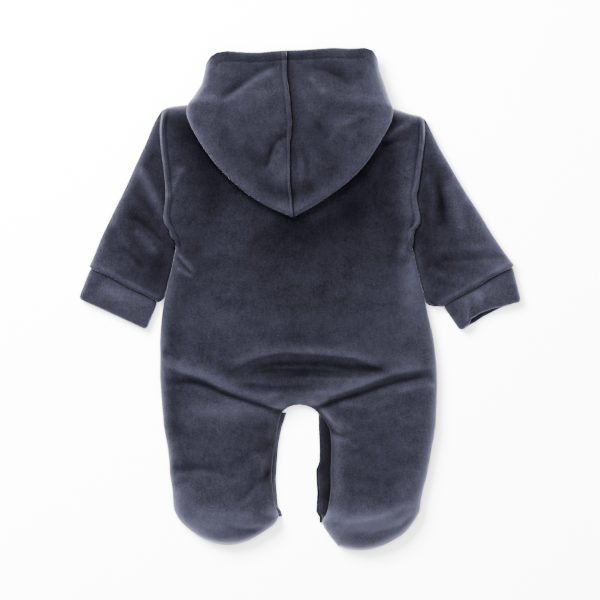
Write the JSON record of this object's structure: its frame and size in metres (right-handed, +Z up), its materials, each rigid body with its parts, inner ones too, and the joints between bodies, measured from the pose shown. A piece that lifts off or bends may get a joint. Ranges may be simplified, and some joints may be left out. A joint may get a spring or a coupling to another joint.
{
  "type": "baby footed sleepsuit",
  "caption": "Hooded velour footed sleepsuit for a baby, lying flat on its front with the sleeves out to the sides and the hood down over the back.",
  "frame": {"origin": "middle of the underside, on the surface that the suit lies on", "axes": "+Y from the feet to the hood, +Z up from the surface through the back of the suit, +X across towards the wearer's right sleeve"},
  "size_m": [0.4836, 0.5488, 0.0348],
  "materials": {
    "velour": "dark blue grey velour pile",
    "stud_metal": "dull metal press stud"
  },
  "bodies": {
    "root": {"back": "velour", "front_left": "velour", "front_right": "velour", "sleeve_left": "velour", "sleeve_right": "velour", "cuff_left": "velour", "cuff_right": "velour", "hood_left": "velour", "hood_right": "velour", "leg_placket_left": "velour", "leg_placket_right": "velour", "stud_1": "stud_metal", "stud_2": "stud_metal", "stud_3": "stud_metal", "stud_4": "stud_metal", "stud_5": "stud_metal"}
  },
  "joints": []
}
